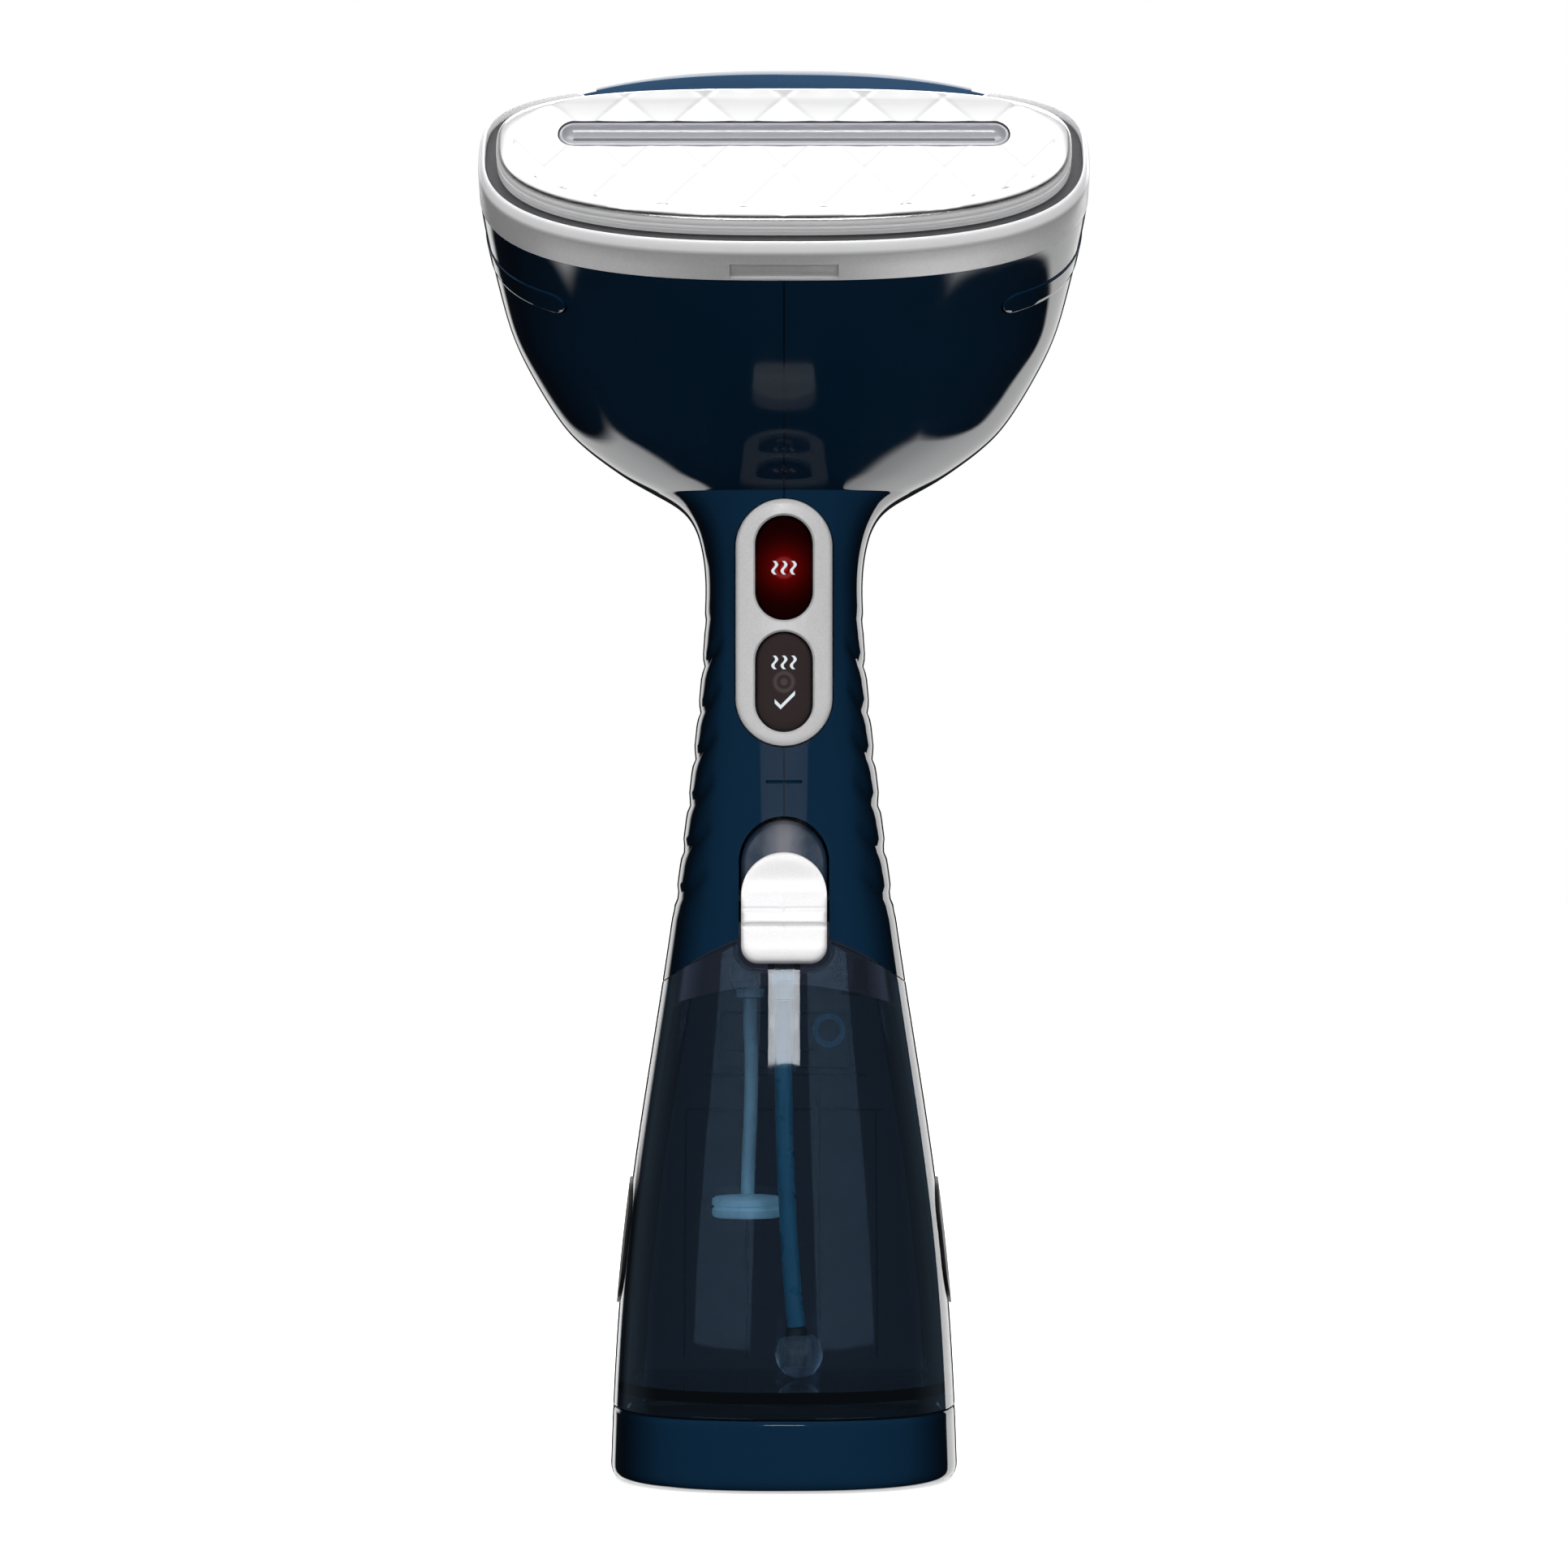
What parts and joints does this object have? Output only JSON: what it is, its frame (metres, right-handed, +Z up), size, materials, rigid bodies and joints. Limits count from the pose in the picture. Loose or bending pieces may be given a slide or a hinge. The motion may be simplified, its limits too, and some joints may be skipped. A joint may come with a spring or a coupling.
{
  "type": "garment steamer",
  "caption": "Handheld garment steamer with a fan-shaped head, tilted steam plate with one long slot, clear detachable water tank, latch, trigger and power slider.",
  "frame": {"origin": "centre of the foot pad's flat underside, on the surface the steamer stands on", "axes": "+Z up along the handle, -Y towards the side that the steam plate faces, +X to the right as seen from that side"},
  "size_m": [0.1392, 0.1445, 0.3312],
  "materials": {
    "navy_gloss": "moulded glossy navy",
    "satin_silver": "satin silver with a fine metallic flake",
    "plate_metal": "polished light plate with raised diagonal lines",
    "slot_metal": "bright",
    "cast_alloy": "raw cast",
    "element_steel": "drawn tube",
    "seal_grey": "moulded",
    "smoked_clear": "clear smoked navy",
    "lid_smoked": "dark smoked",
    "hose_clear": "translucent hose",
    "hose_natural": "natural silicone hose",
    "grip_black": "matte moulded",
    "black_plastic": "moulded",
    "dark_frame": "moulded",
    "guide_plastic": "moulded",
    "red_lens": "tinted clear",
    "dark_lens": "tinted clear",
    "led_red": "clear",
    "board_green": "coated board",
    "control_grey": "satin moulded",
    "zinc_steel": "zinc plated",
    "spring_steel": "drawn wire",
    "pump_plastic": "moulded",
    "weight_clear": "clear",
    "fuse_ceramic": "sleeved"
  },
  "bodies": {
    "housing": {"housing_left": "navy_gloss", "housing_right": "navy_gloss", "head_top_shell": "navy_gloss", "side_inset_left": "navy_gloss", "side_inset_right": "navy_gloss", "base_foot": "navy_gloss", "foot_pad": "grip_black", "cord_gland": "grip_black", "rim_bezel": "satin_silver", "handle_bezel": "satin_silver", "steam_plate": "plate_metal", "slot_trim": "slot_metal", "plate_gasket": "seal_grey", "boiler_cover": "cast_alloy", "boiler_block": "cast_alloy", "heating_element": "element_steel", "boiler_thermostat": "zinc_steel", "thermal_fuse": "fuse_ceramic", "boiler_inlet_hose": "hose_natural", "supply_hose": "hose_natural", "pump_body": "pump_plastic", "pump_bracket": "zinc_steel", "turbo_lens": "red_lens", "ready_lens": "dark_lens", "turbo_led": "led_red", "ready_led": "led_red", "indicator_board": "board_green", "latch_guide": "guide_plastic", "latch_spring": "spring_steel", "dock_frame": "dark_frame", "dock_boss": "hose_clear", "dock_coupler": "pump_plastic", "housing_screw_1": "zinc_steel", "housing_screw_2": "zinc_steel", "housing_screw_3": "zinc_steel", "trigger_pin": "zinc_steel", "trigger_spring": "spring_steel", "trigger_bracket": "black_plastic", "microswitch": "black_plastic", "switch_body": "black_plastic"},
    "tank": {"tank_shell": "smoked_clear", "tank_lid": "lid_smoked", "fill_plug": "grip_black", "vent_elbow": "hose_clear", "intake_stub": "hose_clear", "vent_hose": "hose_clear", "vent_disc": "hose_clear", "intake_hose": "hose_clear", "intake_connector": "black_plastic", "intake_weight": "weight_clear", "tank_grip_left": "grip_black", "tank_grip_right": "grip_black"},
    "latch": {"latch_slider": "satin_silver"},
    "trigger": {"steam_trigger": "control_grey"},
    "power_knob": {"power_slider": "control_grey"},
    "plunger": {"pump_plunger": "zinc_steel"}
  },
  "joints": [
    {"name": "tank_slide", "type": "slide", "parent": "housing", "child": "tank", "axis": [0, -1, 0], "range_m": [0, 0.1]},
    {"name": "latch_slide", "type": "slide", "parent": "housing", "child": "latch", "axis": [0, 0.1149, 0.9934], "range_m": [0, 0.006], "stiffness_N_per_m": 200, "deforming": ["latch_spring"]},
    {"name": "trigger_press", "type": "hinge", "parent": "housing", "child": "trigger", "pos_m": [0, 0.0205, 0.2155], "axis": [-1, 0, 0], "range_deg": [0, 5], "stiffness_Nm_per_rad": 0.2, "deforming": ["trigger_spring"]},
    {"name": "power_slide", "type": "slide", "parent": "housing", "child": "power_knob", "axis": [0, 0, 1], "range_m": [0, 0.005]},
    {"name": "pump_stroke", "type": "slide", "parent": "housing", "child": "plunger", "axis": [0, 0, 1], "range_m": [0, 0.003], "stiffness_N_per_m": 150}
  ]
}
